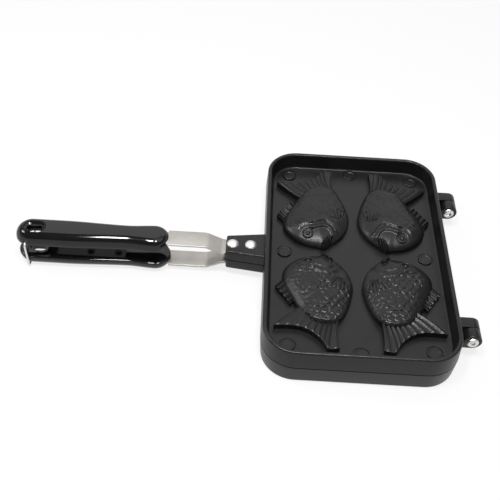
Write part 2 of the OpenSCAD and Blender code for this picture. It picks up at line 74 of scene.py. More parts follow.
def pick(sockets, name):
    """A socket by its place or its name."""
    return sockets[name] if isinstance(name, int) else [s for s in sockets if s.name == name][0]


def add(tree, kind, values={}, links={}, **settings):
    """Adds a node, sets its sockets and its settings, and links its sockets from other nodes."""
    node = tree.nodes.new(kind)
    for name, value in settings.items():
        setattr(node, name, value)
    sockets = [socket for socket in node.inputs if socket.enabled]
    for name, value in values.items():
        pick(sockets, name).default_value = value
    for name, (source, output) in links.items():
        outputs = [socket for socket in source.outputs if socket.enabled]
        tree.links.new(pick(outputs, output), pick(sockets, name))
    return node


def new_material(name):
    """An empty node material with its Object coordinates."""
    material = bpy.data.materials.new(name)
    material.use_nodes = True
    material.node_tree.nodes.clear()
    tree = material.node_tree
    return material, tree, add(tree, "ShaderNodeTexCoord")


# Non-stick coating, a sprayed and baked fluoropolymer with that plastic's low IOR of 1.37: matte
# charcoal with dull highlights, rougher in some places than in others. Its real grain is about a
# quarter of a millimetre, and it is drawn at 0.9 mm to show.
coating, tree, place = new_material("baked_nonstick_coating")
cloudy = add(tree, "ShaderNodeTexNoise", {"Scale": 1 / (35 * MM), "Detail": 3.0},
             {"Vector": (place, "Object")})
grain = add(tree, "ShaderNodeTexNoise", {"Scale": 1 / (0.9 * MM), "Detail": 2.0},
            {"Vector": (place, "Object")})
ramp = add(tree, "ShaderNodeValToRGB", {}, {"Fac": (cloudy, "Fac")})
ramp.color_ramp.elements[0].position = 0.3
ramp.color_ramp.elements[0].color = linear("#0c0c0d")
ramp.color_ramp.elements[1].position = 0.7
ramp.color_ramp.elements[1].color = linear("#131214")
rough = add(tree, "ShaderNodeMapRange", {"To Min": 0.31, "To Max": 0.4}, {"Value": (cloudy, "Fac")})
bump = add(tree, "ShaderNodeBump", {"Strength": 0.35, "Distance": 0.12 * MM}, {"Height": (grain, "Fac")})
shader = add(tree, "ShaderNodeBsdfPrincipled", {"IOR": 1.37},
             {"Base Color": (ramp, "Color"), "Roughness": (rough, "Result"), "Normal": (bump, "Normal")})
add(tree, "ShaderNodeOutputMaterial", {}, {"Surface": (shader, "BSDF")})


def quarter(radius, steps):
    """(inset, rise) steps round a convex edge, from upright to flat."""
    turns = [math.radians(90 * i / steps) for i in range(steps + 1)]
    return [(radius * (math.cos(a) - math.cos(b)), radius * (math.sin(b) - math.sin(a)))
            for a, b in zip(turns, turns[1:])]


def raised(bm, face, steps):
    """Insets a face again and again, each time by (inset, rise)."""
    for inset, rise in steps:
        bmesh.ops.inset_region(bm, faces=[face], thickness=inset, depth=rise, use_boundary=True,
                               use_even_offset=True)


def rounded_plate(length, width, corner, segments):
    """A flat mesh with rounded corners, and its one face, which looks up."""
    bm = bmesh.new()
    bmesh.ops.create_grid(bm, x_segments=1, y_segments=1, size=0.5)
    bmesh.ops.scale(bm, vec=(length, width, 1), verts=bm.verts)
    bmesh.ops.bevel(bm, geom=bm.verts[:], offset=corner, affect="VERTICES", segments=segments,
                    profile=0.5, material=-1)
    bm.faces.ensure_lookup_table()
    top = bm.faces[0]
    if top.normal.z < 0:
        top.normal_flip()
    return bm, top


def seam(bm, bottom):
    """Sets the parting face back from the wall above it, so that the closed halves show a dark line."""
    bmesh.ops.inset_region(bm, faces=bottom, thickness=seam_depth, use_even_offset=True)
    bmesh.ops.inset_region(bm, faces=bottom, thickness=0.01, depth=seam_height, use_even_offset=True)
    return bm


def tray():
    """The outside of a pan: drafted wall, rounded rim, inner wall, floor and flat parting face."""
    bm, top = rounded_plate(pan_length + 2 * outer_draft, pan_width + 2 * outer_draft,
                            pan_corner + outer_draft, segments=16)
    bmesh.ops.translate(bm, vec=(0, 0, seam_height), verts=bm.verts)
    edge = quarter(rim_round, 6)
    inner = [(b, -a) for a, b in quarter(rim_inner_round, 6)]
    foot = quarter(foot_round, 5)
    foot = [(b, -a) for a, b in foot[::-1]]
    wall = half_height - rim_round - seam_height
    drop = half_height - plate - rim_inner_round - foot_round
    raised(bm, top, [(outer_draft, wall)] + edge + [(rim_land, 0)] + inner
           + [(inner_draft, -drop)] + foot)
    bottom = bmesh.ops.holes_fill(bm, edges=[e for e in bm.edges if e.is_boundary], sides=0)["faces"]
    bmesh.ops.recalc_face_normals(bm, faces=bm.faces)
    return seam(bm, bottom)


# Fish moulds
# Four fish in each casting, one to a quarter, mouth and belly towards the middle. They are cast in
# one with the tray, bulge outwards and are hollow inside, where the batter goes.


def spline(points, steps, closed=False):
    """A smooth curve through points, with so many steps between one and the next."""
    count = len(points)
    spans = count if closed else count - 1
    curve = []
    for i in range(spans):
        if closed:
            a, b, c, d = (points[(i + k) % count] for k in (-1, 0, 1, 2))
        else:
            a, b, c, d = (points[min(count - 1, max(0, i + k))] for k in (-1, 0, 1, 2))
        for j in range(steps):
            t = j / steps
            curve.append(0.5 * (2 * b + (c - a) * t + (2 * a - 5 * b + 4 * c - d) * t * t
                                + (3 * b - a - 3 * c + d) * t ** 3))
    if not closed:
        curve.append(points[-1].copy())
    return curve


# The outline and the places of the parts, across from the pan's middle line and along it
body_outline = [Vector(p) for p in (
    (29.6, 4.3), (26.9, 3.8), (24.2, 5.6), (19.6, 9.9), (12.6, 16.6), (7.6, 24.4), (4.6, 33.7),
    (4, 42), (5.5, 51), (8.5, 61), (12.9, 70.5), (19, 77.5), (27.9, 79.5), (38.5, 76.3), (47, 68.3),
    (52.6, 58.8), (58.2, 47.4), (62, 37), (62.6, 28), (59.4, 20.4), (53.2, 13.6), (45.8, 8.8),
    (38.5, 6.4), (33.2, 5.7))]
crest = (Vector((33.6, 26)), Vector((30.5, 63)))
dome_height = 11.5
dome_fullness = 1.7
side_wall = 3.2
tail_height = 5.8
fin_height = 4.5
tail_root = [Vector(p) for p in ((16.5, 70), (24, 72), (33, 70), (45, 62))]
tail_tip = [Vector(p) for p in ((17.2, 103), (25.8, 104), (30.2, 97), (35.5, 91), (42, 86.3),
                                (50, 83.6), (60, 83.2), (69, 84))]
fin_tip = [Vector(p) for p in ((56, 60), (68.4, 41.8))]
fin_reach = Vector((6.6, 8.4))
eye_middle = Vector((41.3, 16.3))
gill_lines = [spline([Vector(p) for p in line], 3) for line in (
    ((37, 20.4), (31, 22.6), (25.6, 23.2), (21.6, 20.6), (19.2, 15.5)),
    ((38, 26), (31.5, 29.2), (25.6, 30.4), (20.2, 27.4), (16.4, 21.5)))]
mouth_lines = (
    [Vector(p) for p in ((29.8, 2), (28, 7), (25.7, 11))],
    [Vector(p) for p in ((27.4, 2), (26.1, 7.5), (23.8, 13.2))],
    [Vector(p) for p in ((25, 2), (24.2, 8), (22.2, 14.2))],
    [Vector(p) for p in ((22.4, 5), (21.9, 9.5), (20.6, 13.6))])
pectoral_root = Vector((12.4, 25.4))
scale_width = 6.2
scale_pitch = 4.3
scale_bow = 1.8
scale_fall = 1.35
scale_rise = 1.45


def smooth(low, high, x):
    """Rises smoothly from 0 at low to 1 at high."""
    t = min(1.0, max(0.0, (x - low) / (high - low)))
    return t * t * (3 - 2 * t)


def line_distance(p, line):
    """Distance from p to a bent line, less than zero on its left."""
    best = None
    for a, b in zip(line, line[1:]):
        span = b - a
        t = min(1.0, max(0.0, (p - a).dot(span) / span.length_squared))
        away = p - (a + span * t)
        side = span.x * away.y - span.y * away.x
        distance = math.copysign(away.length, -side)
        if best is None or abs(distance) < abs(best):
            best = distance
    return best


def scale_height(p):
    """Overlapping scales: each rises slowly to its bowed free edge and falls from it to the next."""
    best = 0.0
    first = math.floor(p.y / scale_pitch) - 2
    for row in range(first, first + 5):
        slant = -0.1 * (p.x - 30) + 0.5 * math.sin(1.7 * row + 0.35 * p.x)
        shift = (row % 2) * 0.5 + 0.12 * math.sin(2.3 * row)
        across = (p.x / scale_width + shift) % 1 - 0.5
        ahead = row * scale_pitch + slant + scale_bow * math.cos(math.pi * across) - p.y
        fade = 0.8 + 0.2 * math.sin(5.1 * row + 1.3 * math.floor(p.x / scale_width + shift))
        if ahead > 0:
            height = 1 - ahead / (1.8 * scale_pitch)
        else:
            height = max(0.0, 1 - (ahead / scale_fall) ** 2) ** 0.8
        best = max(best, height * fade)
    return best


def pectoral_height(p):
    """Five rays that spread from the gill towards the tail."""
    away = p - pectoral_root
    turn = math.degrees(math.atan2(away.x, away.y))
    reach = away.length
    ray = (turn + 13) / 10
    if not 0 < ray < 5:
        return 0.0
    crown = math.sqrt(max(0.0, 1 - (2 * (ray % 1) - 1) ** 2))
    tip = 20 + 2.5 * crown
    ends = smooth(7, 10, reach) * (1 - smooth(tip - 1.5, tip, reach))
    return ends * (2.0 * crown - 0.6)


def fish_detail(p, share):
    """How far the surface stands above the plain dome. share is 1 at the outline and 0 on the crest."""
    inside = 1 - smooth(0.86, 0.97, share)
    height = 0.0
    # Scales, which fade out towards the head, the outline and the back fin
    body = smooth(20, 33, p.y + 0.35 * (p.x - 30)) * (1 - smooth(0.86, 1.0, share))
    body *= 1 - 0.8 * smooth(0.6, 0.85, share) * smooth(38, 50, p.x)
    fin = pectoral_height(p)
    height += scale_rise * body * scale_height(p) * (1 - smooth(0.0, 0.5, abs(fin)))
    height += fin * inside
    # Gill cover: two raised lines, steep towards the head and shallow towards the tail
    for line, crown in zip(gill_lines, (1.5, 1.6)):
        d = line_distance(p, line)
        width = 2.6 if d > 0 else 1.0
        height += inside * crown * math.exp(-(d / width) ** 2)
    # Mouth strands: narrow ridges
    for line in mouth_lines:
        d = line_distance(p, line)
        height += 3.0 * math.exp(-(d / 0.7) ** 2)
    # Brow, and a hollow for the eye to stand in
    away = (p - eye_middle).length
    turn = math.degrees(math.atan2(p.y - eye_middle.y, p.x - eye_middle.x))
    brow = smooth(15, 40, turn) * (1 - smooth(90, 115, turn))
    height += 0.6 * inside * brow * math.exp(-((away - 10) / 1.2) ** 2)
    height -= 1.0 * (1 - smooth(3.6, 5.4, away))
    return height


def loft(rings):
    """A skin over rings of equally many points: one ring, extruded from place to place and capped."""
    bm = bmesh.new()
    order = bm.verts.layers.int.new("order")
    bmesh.ops.create_circle(bm, segments=len(rings[0]), radius=1)
    bm.verts.ensure_lookup_table()
    for i, vert in enumerate(bm.verts):
        vert[order] = i
        vert.co = rings[0][i]
    edges = bm.edges[:]
    bmesh.ops.contextual_create(bm, geom=edges)
    for ring in rings[1:]:
        made = bmesh.ops.extrude_edge_only(bm, edges=edges)["geom"]
        for vert in made:
            if isinstance(vert, bmesh.types.BMVert):
                vert.co = ring[vert[order]]
        edges = [e for e in made if isinstance(e, bmesh.types.BMEdge) and e.is_boundary]
        edges = [e for e in edges if all(v in made for v in e.verts)]
    bmesh.ops.contextual_create(bm, geom=edges)
    bmesh.ops.recalc_face_normals(bm, faces=bm.faces)
    return bm


def fish_body(inset, rise, around, up):
    """The domed body: its outline drawn in step by step to the crest, and its relief."""
    outline = spline(body_outline, around, closed=True)
    power = 2 / dome_fullness
    rings = [[]]
    for i in range(up + 1):
        turn = math.radians(89.2 * i / up)
        share = math.cos(turn) ** power
        swell = 1 - share ** dome_fullness
        ring = []
        for p in outline:
            span = crest[1] - crest[0]
            t = min(1.0, max(0.0, (p - crest[0]).dot(span) / span.length_squared))
            foot = crest[0] + span * t
            q = foot + (p - foot) * share * (1 - inset / (p - foot).length)
            wall = side_wall * smooth(-4, 14, p.y) + 3.2 * smooth(64, 77, p.y)
            top = dome_height - 2.6 * smooth(35, 76, q.y)
            height = wall + (top - wall) * swell ** (1 / dome_fullness) + fish_detail(q, share)
            ring.append(Vector((q.x, q.y, rise + height)))
        rings.append(ring)
    rings[0] = [Vector((p.x, p.y, -2 if inset else rise - 2)) for p in rings[1]]
    return loft(rings)


def line_point(line, t):
    """The point at share t of a smooth line's steps."""
    curve = spline(line, 12)
    place = t * (len(curve) - 1)
    i = min(len(curve) - 2, int(place))
    return curve[i].lerp(curve[i + 1], place - i)


def ribbed_patch(roots, tips, ribs, height, relief, rise, inset, per_rib, along, sharp, bow=0.0):
    """A fan of rounded ribs between two lines, with upright edges down to below the floor."""
    bm = bmesh.new()
    bmesh.ops.create_grid(bm, x_segments=ribs * per_rib, y_segments=along, size=0.5)
    for vert in bm.verts:
        t = vert.co.x + 0.5
        s = vert.co.y + 0.5
        root = line_point(roots, t)
        tip = line_point(tips, t)
        trim = 1 - inset * (1.2 + sharp * smooth(0.5, 1, t)) / (tip - root).length
        side = Vector((tip.y - root.y, root.x - tip.x)).normalized()
        q = root + (tip - root) * s * trim + side * (bow * 4 * s * (1 - s) + inset * (1 - 2 * t))
        crown = (0.5 - 0.5 * math.cos(math.tau * t * ribs)) ** 1.4 if 0.001 < t < 0.999 else 0
        end = 1 - smooth(0.93, 1.0, s) ** 2
        low = height - 0.4 * relief - (1.2 if bow == 0 else 0) * (1 - smooth(0, 0.3, s))
        vert.co = (q.x, q.y, rise + low + relief * crown * (0.3 + 0.7 * end))
    base = -2 if inset else rise - 2
    down = bmesh.ops.extrude_face_region(bm, geom=bm.faces[:])["geom"]
    for vert in down:
        if isinstance(vert, bmesh.types.BMVert):
            vert.co.z = base
    bmesh.ops.recalc_face_normals(bm, faces=bm.faces)
    return bm


def spun(profile, segments):
    """A solid turned about the upright axis from (radius, height) points that start and end on it."""
    bm = bmesh.new()
    verts = [bm.verts.new((r, 0, z)) for r, z in profile]
    for a, b in zip(verts, verts[1:]):
        bm.edges.new((a, b))
    bmesh.ops.spin(bm, geom=bm.verts[:] + bm.edges[:], axis=(0, 0, 1), cent=(0, 0, 0),
                   angle=math.tau, steps=segments, use_merge=True)
    bmesh.ops.remove_doubles(bm, verts=bm.verts, dist=0.0005)
    bmesh.ops.recalc_face_normals(bm, faces=bm.faces)
    return bm


def eye(surface_z):
    """A raised ring round a ball, tilted with the cheek."""
    turns = [math.pi * i / 16 for i in range(17)]
    ball = [(2.0 * math.sin(a), 0.1 + 1.2 * math.cos(a)) for a in turns[:9]]
    ring = [(4.1 - 0.9 * math.cos(a), 0.95 * math.sin(a) - 0.1) for a in turns[::2]]
    profile = [(0, 1.3)] + ball[1:] + [(2.1, -0.9), (3.1, -0.9)] + ring + [(5.0, -3), (0, -3)]
    bm = spun(profile, 36)
    tilt = Matrix.Rotation(math.radians(14), 3, Vector((1, 0.6, 0)))
    bmesh.ops.rotate(bm, verts=bm.verts, matrix=tilt)
    bmesh.ops.translate(bm, verts=bm.verts, vec=(eye_middle.x, eye_middle.y, surface_z))
    return bm


def joined(parts):
    """Several meshes in one, without welding them."""
    whole = bmesh.new()
    for part in parts:
        mesh = bpy.data.meshes.new("part")
        part.to_mesh(mesh)
        part.free()
        whole.from_mesh(mesh)
        bpy.data.meshes.remove(mesh)
    return whole


def combined(base, *steps):
    """base after each (operation, tool) in turn, as a solid."""
    made = []
    for bm in [base] + [tool for _, tool in steps]:
        mesh = bpy.data.meshes.new("solid")
        bmesh.ops.triangulate(bm, faces=bm.faces)
        bm.to_mesh(mesh)
        bm.free()
        made.append(bpy.data.objects.new("solid", mesh))
        bpy.context.scene.collection.objects.link(made[-1])
    for (operation, _), tool in zip(steps, made[1:]):
        change = made[0].modifiers.new("change", "BOOLEAN")
        change.operation = operation
        change.solver = "MANIFOLD"
        change.object = tool
    whole = bmesh.new()
    graph = bpy.context.evaluated_depsgraph_get()
    whole.from_mesh(made[0].evaluated_get(graph).to_mesh())
    for piece in made:
        mesh = piece.data
        bpy.data.objects.remove(piece)
        bpy.data.meshes.remove(mesh)
    return whole


def fish(inset, rise, around, up, per_rib, along):
    """One whole fish, standing on or sunk into the plate."""
    parts = [
        ribbed_patch(tail_root, tail_tip, 9, tail_height, 1.0, rise, inset, per_rib, along,
                     sharp=2.2, bow=1.2),
        ribbed_patch([p - fin_reach for p in fin_tip], fin_tip, 5, fin_height, 1.7, rise, inset,
                     per_rib, along // 2, sharp=0.3),
        eye(rise + dome_height * 0.72),
    ]
    return combined(fish_body(inset, rise, around, up), *[("UNION", part) for part in parts])


def copies(bm, scales):
    """Mirrored or scaled copies of a mesh about the middle of the pan, in one mesh."""
    parts = []
    for scale in scales:
        part = bm.copy()
        bmesh.ops.scale(part, vec=scale, verts=part.verts)
        if scale[0] * scale[1] * scale[2] < 0:
            bmesh.ops.reverse_faces(part, faces=part.faces)
        parts.append(part)
    bm.free()
    return joined(parts)


quarters = [(1, 1, 1), (-1, 1, 1), (1, -1, 1), (-1, -1, 1)]
mould_wall = 1.8
mould_drop = 3.0
outer_fish = copies(fish(0, plate, around=10, up=60, per_rib=8, along=24), quarters)
inner_fish = copies(fish(mould_wall, plate - mould_drop, around=4, up=28, per_rib=6, along=12),
                    quarters)

# Ejector pads
# Round marks on the tray's floor between the fish, cast in one with it. Each is a low disc that a pin
# of the die pushed on, in a shallow ring recess, and they stand unequally high.
pad_places = ((61, 0, 1.0), (-61, 0, 1.1), (0, 104.5, 0.5), (0, -104.5, 0.9),
              (57.5, 99, 0.35), (-57.5, 99, 1.2), (57.5, -99, 0.8), (-57.5, -99, 1.1))
pad_radius = 5.9
ring_recess_radius = 6.9
ring_recess_depth = 0.6

pads = []
recesses = []
for x, y, tall in pad_places:
    pad = spun([(0, tall - 0.3), (4.1, tall - 0.3), (4.5, tall), (5.5, tall), (5.8, tall - 0.25),
                (pad_radius, -1), (0, -1)], 40)
    bmesh.ops.translate(pad, verts=pad.verts, vec=(x, y, plate))
    pads.append(pad)
    recess = spun([(0, 1), (ring_recess_radius, 1), (ring_recess_radius, -0.1),
                   (ring_recess_radius - 0.2, -ring_recess_depth), (0, -ring_recess_depth)], 40)
    bmesh.ops.translate(recess, verts=recess.verts, vec=(x, y, plate))
    recesses.append(recess)

# Handle socket
# A tapered block with rounded edges, cast in one with each pan. The strap's tang sits in it and is
# held by two rivets.
socket_end = -111.5
socket_height = 10.5
socket_tip_half = 9.8
socket_root_half = 14.6
socket_round = 1.7
socket_bite = 3


def handle_socket():
    """A tapered block with rounded edges from inside the wall to the free end."""
    root = -pan_length / 2 + socket_bite
    bm = bmesh.new()
    bmesh.ops.create_cube(bm, size=1)
    for vert in bm.verts:
        outer = vert.co.x < 0
        half = socket_tip_half if outer else socket_root_half
        vert.co = (socket_end if outer else root, math.copysign(half, vert.co.y),
                   socket_height if vert.co.z > 0 else seam_height)
    edges = [e for e in bm.edges if max(v.co.z for v in e.verts) > 1
             and min(v.co.x for v in e.verts) < root - 1]
    bmesh.ops.bevel(bm, geom=edges, offset=socket_round, affect="EDGES", segments=4, profile=0.5,
                    material=-1)
    return seam(bm, [f for f in bm.faces if max(v.co.z for v in f.verts) < 1])


# Hinge ears
# Two on each pan, cast in one with it: a round eye about the pin with a flat web to the wall. The
# two pans' ears lie side by side, and the pin's bore goes through both.
pin_x = pan_length / 2 + pin_reach
ear_radius = 7.5
ear_thick = 9.7
ear_gap = 0.3
ear_edge = 0.5
ear_bite = 1.5
bore_radius = 2.45
hinge_y = 73.75


def hinge_ear(y):
    """The eye and its web, with broken edges. It lies on the far side of y."""
    root = pan_length / 2 - ear_bite
    bm = bmesh.new()
    bmesh.ops.create_circle(bm, segments=64, radius=ear_radius, cap_ends=True)
    for vert in bm.verts:
        if vert.co.x < -1e-4 and vert.co.y > 1e-4:
            turn = math.atan2(vert.co.y, -vert.co.x)
            corner = Vector((root - pin_x, ear_radius))
            high = turn > math.pi / 4
            vert.co = (corner.x, corner.y, 0) if high else (corner.x, 0.0, 0)
    bmesh.ops.remove_doubles(bm, verts=bm.verts, dist=0.001)
    bmesh.ops.extrude_face_region(bm, geom=bm.faces[:])
    low = [f for f in bm.faces if len(f.verts) > 8]
    bmesh.ops.translate(bm, verts=low[-1].verts, vec=(0, 0, ear_thick))
    bmesh.ops.recalc_face_normals(bm, faces=bm.faces)
    rims = [e for f in bm.faces if len(f.verts) > 8 for e in f.edges]
    bmesh.ops.bevel(bm, geom=rims, offset=ear_edge, affect="EDGES", segments=3, profile=0.5,
                    material=-1)
    bmesh.ops.rotate(bm, verts=bm.verts, matrix=Matrix.Rotation(math.radians(90), 3, "X"))
    bmesh.ops.translate(bm, verts=bm.verts, vec=(pin_x, y + ear_thick, 0))
    return bm


def cross_bore(radius, depth, segments, middle):
    """A cylinder that lies across the pan, for cutting."""
    bm = bmesh.new()
    bmesh.ops.create_cone(bm, cap_ends=True, segments=segments, radius1=radius, radius2=radius,
                          depth=depth)
    bmesh.ops.rotate(bm, verts=bm.verts, matrix=Matrix.Rotation(math.radians(90), 3, "X"))
    bmesh.ops.translate(bm, verts=bm.verts, vec=middle)
    return bm


# Both castings
# Socket, ears, pads and fish are one with their tray, as they are cast. The moulds and the bore for
# the hinge pins are cut out of each, and the coating covers all of it.
bore_length = 220


def finished(bm, name, half, body, material, angle=32):
    """The mesh as a named piece in the frame of the whole, riding on its body."""
    if half == "lower":
        bmesh.ops.scale(bm, vec=(1, 1, -1), verts=bm.verts)
        bmesh.ops.reverse_faces(bm, faces=bm.faces)
    bmesh.ops.scale(bm, vec=(MM, MM, MM), verts=bm.verts)
    bmesh.ops.translate(bm, vec=pan_middle, verts=bm.verts)
    mesh = bpy.data.meshes.new(name)
    bm.to_mesh(mesh)
    bm.free()
    mesh.shade_smooth()
    mesh.set_sharp_from_angle(angle=math.radians(angle))
    mesh.materials.append(material)
    piece = bpy.data.objects.new(name, mesh)
    bpy.context.scene.collection.objects.link(piece)
    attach(piece, body)
    return piece


relief = joined([outer_fish] + pads)
recesses = joined(recesses)
for half in ("upper", "lower"):
    side = ear_gap / 2 if half == "upper" else -ear_gap / 2 - ear_thick
    ears = joined([hinge_ear(y + side) for y in (-hinge_y, hinge_y)] + [handle_socket()])
    bore = cross_bore(bore_radius, bore_length, 40, (pin_x, 0, 0))
    casting = combined(tray(), ("DIFFERENCE", recesses.copy()), ("UNION", ears), ("UNION", relief.copy()),
                       ("DIFFERENCE", inner_fish.copy()), ("DIFFERENCE", bore))
    pan = finished(casting, half + "_casting", half, half + "_half", coating)
    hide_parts(half + "_pan")
relief.free()
recesses.free()
inner_fish.free()

# Straps
# A flat stainless band for each handle, stamped, bent and ground. Its narrow ends sit in the cast
# socket, where two rivets hold it, and in the handle, where two screws do.
strap_thick = 2.0
strap_half = 8.5
tang_half = 6.8
tang_height = 5.4
strap_height = 12.4
strap_edge = 0.35
tang_start = -84.0
low_bend = -114.5
high_bend = -128.5
bend_reach = 2.6
tang_end = -236.0
handle_start = -160.0

# Stainless steel, ground along the band: a soft sheen that is stretched across it, slightly stained.
# The real marks are about 0.1 mm apart, and they are drawn at 0.45 mm to show.
satin, tree, place = new_material("satin_ground_stainless_steel")
stretch = add(tree, "ShaderNodeMapping", {"Scale": (1 / (40 * MM), 1 / (0.45 * MM), 1 / (0.45 * MM))},
              {"Vector": (place, "Object")})
lines = add(tree, "ShaderNodeTexNoise", {"Scale": 1.0, "Detail": 3.0}, {"Vector": (stretch, "Vector")})
stain = add(tree, "ShaderNodeTexNoise", {"Scale": 1 / (14 * MM), "Detail": 2.0},
            {"Vector": (place, "Object")})
ramp = add(tree, "ShaderNodeValToRGB", {}, {"Fac": (stain, "Fac")})
ramp.color_ramp.elements[0].position = 0.3
ramp.color_ramp.elements[0].color = linear("#a6a29d")
ramp.color_ramp.elements[1].position = 0.7
ramp.color_ramp.elements[1].color = linear("#b4b1ad")
rough = add(tree, "ShaderNodeMapRange", {"To Min": 0.36, "To Max": 0.5}, {"Value": (lines, "Fac")})
bump = add(tree, "ShaderNodeBump", {"Strength": 0.25, "Distance": 0.03 * MM}, {"Height": (lines, "Fac")})
shader = add(tree, "ShaderNodeBsdfPrincipled", {"Metallic": 1.0},
             {"Base Color": (ramp, "Color"), "Roughness": (rough, "Result"), "Normal": (bump, "Normal")})
add(tree, "ShaderNodeOutputMaterial", {}, {"Surface": (shader, "BSDF")})


def rounded_section(half_width, half_thick, corner, steps=3):
    """Points of a flat bar's section, with rounded corners."""
    points = []
    for sx, sy, start in ((1, 1, 0), (-1, 1, 90), (-1, -1, 180), (1, -1, 270)):
        for i in range(steps + 1):
            a = math.radians(start + 90 * i / steps)
            points.append(Vector((sx * (half_width - corner) + corner * math.cos(a),
                                  sy * (half_thick - corner) + corner * math.sin(a))))
    return points


def strap():
    """The bent band as a loft of its section along its middle line."""
    line = [Vector(p) for p in ((tang_start, tang_height), (low_bend, tang_height),
                                (high_bend, strap_height), (tang_end, strap_height))]
    stations = [(line[0], tang_half)]
    stations += [(Vector((socket_end + 0.4, tang_height)), tang_half)]
    stations += [(Vector((socket_end - 0.8, tang_height)), strap_half - 0.7)]
    stations += [(Vector((socket_end - 1.5, tang_height)), strap_half)]
    for before, corner, after in zip(line, line[1:], line[2:]):
        u = (before - corner).normalized()
        v = (after - corner).normalized()
        for i in range(7):
            t = i / 6
            a = corner + u * bend_reach * (1 - t)
            b = corner + v * bend_reach * t
            stations.append((a.lerp(b, t), strap_half))
    stations += [(Vector((handle_start + 1, strap_height)), strap_half)]
    stations += [(Vector((handle_start - 1.5, strap_height)), strap_half)]
    stations += [(Vector((handle_start - 1.6, strap_height)), tang_half)]
    stations += [(line[3], tang_half)]
    rings = []
    for i, (p, half_width) in enumerate(stations):
        a = stations[max(0, i - 1)][0]
        b = stations[min(len(stations) - 1, i + 1)][0]
        d = (b - a).normalized()
        up = Vector((d.y, -d.x)) if d.x < 0 else Vector((-d.y, d.x))
        rings.append([Vector((p.x + up.x * q.y, q.x, p.y + up.y * q.y))
                      for q in rounded_section(half_width, strap_thick / 2, strap_edge)])
    return loft(rings)


for half in ("upper", "lower"):
    band = finished(strap(), half + "_band", half, half + "_half", satin)
    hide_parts(half + "_strap")

# Handles
# Two hand grips, compression-moulded in black phenolic resin and polished in the mould. Each has a
# waist for the fingers, a hanging hole with a dished edge, and a screw recess in its inner face.
handle_end = -292.0
handle_inner = 6.8
handle_outer = 17.8
handle_half = 13.5
waist_half = 11.8
guard_half = 13.4
waist_x = -196.0
hang_x = -275.5
bail_x = -282.0
pivot_z = 9.0
sweep_radius = 24.4
inner_round = 1.6
outer_round = 7.5
outer_crown = 8.8
hang_length = 14.5
hang_width = 9
recess_length = 60.9
recess_width = 16.4
recess_corner = 3
recess_x = -228.75
recess_bottom = 9.3
groove_radius = 1.8
pivot_radius = 0.95

# Phenolic resin, black and glossy from a polished mould, with a faint waviness and a weaker mirror
# image than its IOR of 1.58 alone would give. The screw recess's flat bottom, 9.3 mm from the parting
# face, isn't polished, and it is grey and dull.
phenolic, tree, place = new_material("polished_black_phenolic_resin")
cloudy = add(tree, "ShaderNodeTexNoise", {"Scale": 1 / (22 * MM), "Detail": 3.0},
             {"Vector": (place, "Object")})
skin = add(tree, "ShaderNodeTexNoise", {"Scale": 1 / (6 * MM), "Detail": 1.0},
           {"Vector": (place, "Object")})
ramp = add(tree, "ShaderNodeValToRGB", {}, {"Fac": (cloudy, "Fac")})
ramp.color_ramp.elements[0].color = linear("#0c0b0c")
ramp.color_ramp.elements[1].color = linear("#131113")
polish = add(tree, "ShaderNodeMapRange", {"To Min": 0.05, "To Max": 0.09}, {"Value": (cloudy, "Fac")})
axes = add(tree, "ShaderNodeSeparateXYZ", {}, {"Vector": (place, "Object")})
off_axis = add(tree, "ShaderNodeMath", {}, {0: (axes, "Y")}, operation="ABSOLUTE")
off_face = add(tree, "ShaderNodeMath", {1: half_height * MM}, {0: (axes, "Z")}, operation="SUBTRACT")
off_face = add(tree, "ShaderNodeMath", {}, {0: (off_face, "Value")}, operation="ABSOLUTE")
near_axis = add(tree, "ShaderNodeMath", {1: 8.6 * MM}, {0: (off_axis, "Value")},
                operation="LESS_THAN")
in_recess = add(tree, "ShaderNodeMath", {1: recess_bottom * MM, 2: 1.2 * MM}, {0: (off_face, "Value")},
                operation="COMPARE")
unpolished = add(tree, "ShaderNodeMath", {}, {0: (near_axis, "Value"), 1: (in_recess, "Value")},
                 operation="MULTIPLY")
rough = add(tree, "ShaderNodeMapRange", {"To Max": 0.55},
            {"Value": (unpolished, "Value"), "To Min": (polish, "Result")})
bump = add(tree, "ShaderNodeBump", {"Strength": 0.06, "Distance": 0.08 * MM}, {"Height": (skin, "Fac")})
tone = add(tree, "ShaderNodeMix", {"B": linear("#242325")},
           {"Factor": (unpolished, "Value"), "A": (ramp, "Color")}, data_type="RGBA")
shader = add(tree, "ShaderNodeBsdfPrincipled", {"IOR": 1.58, "Specular IOR Level": 0.3},
             {"Base Color": (tone, "Result"), "Roughness": (rough, "Result"), "Normal": (bump, "Normal")})
add(tree, "ShaderNodeOutputMaterial", {}, {"Surface": (shader, "BSDF")})


def handle_width_at(x):
    """Half the handle's width between its two round ends."""
    narrow = handle_half + (waist_half - handle_half) * smooth(-250, waist_x, x)
    return narrow + (guard_half - waist_half) * smooth(waist_x, -173, x)


def handle_outline():
    """The handle's plan, anticlockwise from the middle of the strap end."""
    guard = handle_start - guard_half
    free = handle_end + handle_half
    points = [Vector((guard + guard_half * math.cos(a), guard_half * math.sin(a)))
              for a in [math.radians(3.75 * i) for i in range(24)]]
    steps = 34
    for i in range(steps + 1):
        x = guard + (free - guard) * i / steps
        points.append(Vector((x, handle_width_at(x))))
    points += [Vector((free - handle_half * math.sin(a), handle_half * math.cos(a)))
               for a in [math.radians(3.75 * i) for i in range(1, 25)]]
    mirrored = [Vector((p.x, -p.y)) for p in reversed(points[1:-1])]
    return points + mirrored


def offset_ring(outline, inset, z):
    """The outline drawn in by inset, at height z."""
    count = len(outline)
    ring = []
    for i, p in enumerate(outline):
        d = (outline[(i + 1) % count] - outline[i - 1]).normalized()
        ring.append(Vector((p.x - d.y * inset, p.y + d.x * inset, z)))
    return ring


